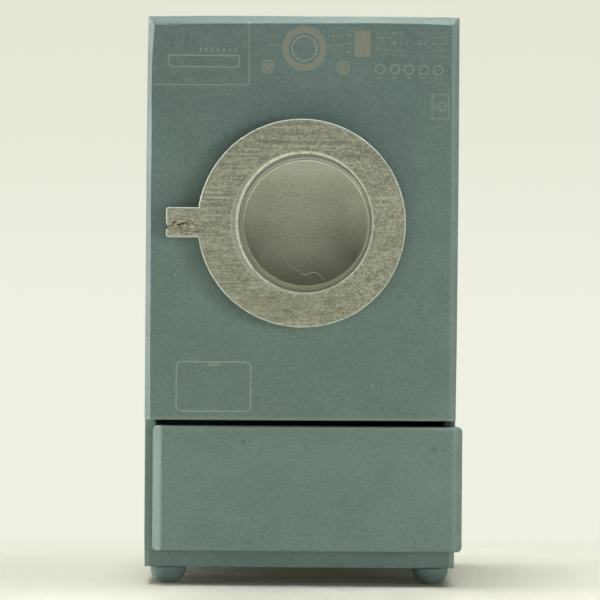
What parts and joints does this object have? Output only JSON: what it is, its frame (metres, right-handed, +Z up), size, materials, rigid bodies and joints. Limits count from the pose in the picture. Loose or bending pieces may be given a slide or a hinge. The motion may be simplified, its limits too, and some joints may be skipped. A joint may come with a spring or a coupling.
{
  "type": "toy washing machine",
  "caption": "Dolls' house front-loading washing machine: painted wooden cabinet, round silver door with a pull tab on a hidden pin hinge, drum and a pull-out pedestal drawer.",
  "frame": {"origin": "on the table under the middle of the machine: halfway across the cabinet, and halfway from the front of the shut door to the back", "axes": "+X to the right of someone facing the door, +Y to the back, +Z up"},
  "size_m": [0.0585, 0.0604, 0.1047],
  "materials": {
    "cabinet_paint": "satin blue-grey enamel sprayed on sanded board",
    "inner_paint": "thin matt coat of the same blue-grey paint",
    "silver_paint": "silver paint on wood, the grain showing through",
    "bowl_metal": "brushed, a little dull",
    "drum_metal": "dull silver",
    "brass": "plain drawn wire",
    "print": "thin pale printing ink"
  },
  "bodies": {
    "cabinet": {"left_side": "cabinet_paint", "right_side": "cabinet_paint", "top_panel": "cabinet_paint", "back_panel": "inner_paint", "base_board": "cabinet_paint", "drum_shelf": "inner_paint", "front_panel": "cabinet_paint", "drum": "drum_metal", "hinge_eye_upper": "brass", "hinge_eye_lower": "brass", "foot_front_left": "cabinet_paint", "foot_front_right": "cabinet_paint", "foot_rear_left": "cabinet_paint", "foot_rear_right": "cabinet_paint"},
    "door": {"door_ring": "silver_paint", "door_bowl": "bowl_metal", "hinge_pin": "brass"},
    "drawer": {"drawer_front": "cabinet_paint", "drawer_left_side": "inner_paint", "drawer_right_side": "inner_paint", "drawer_back": "inner_paint", "drawer_floor": "inner_paint"}
  },
  "joints": [
    {"name": "door_hinge", "type": "hinge", "parent": "cabinet", "child": "door", "pos_m": [0.017, -0.0285, 0.06655], "axis": [0, 0, 1], "range_deg": [0, 90]},
    {"name": "drawer_slide", "type": "slide", "parent": "cabinet", "child": "drawer", "axis": [0, -1, 0], "range_m": [0, 0.036]}
  ]
}
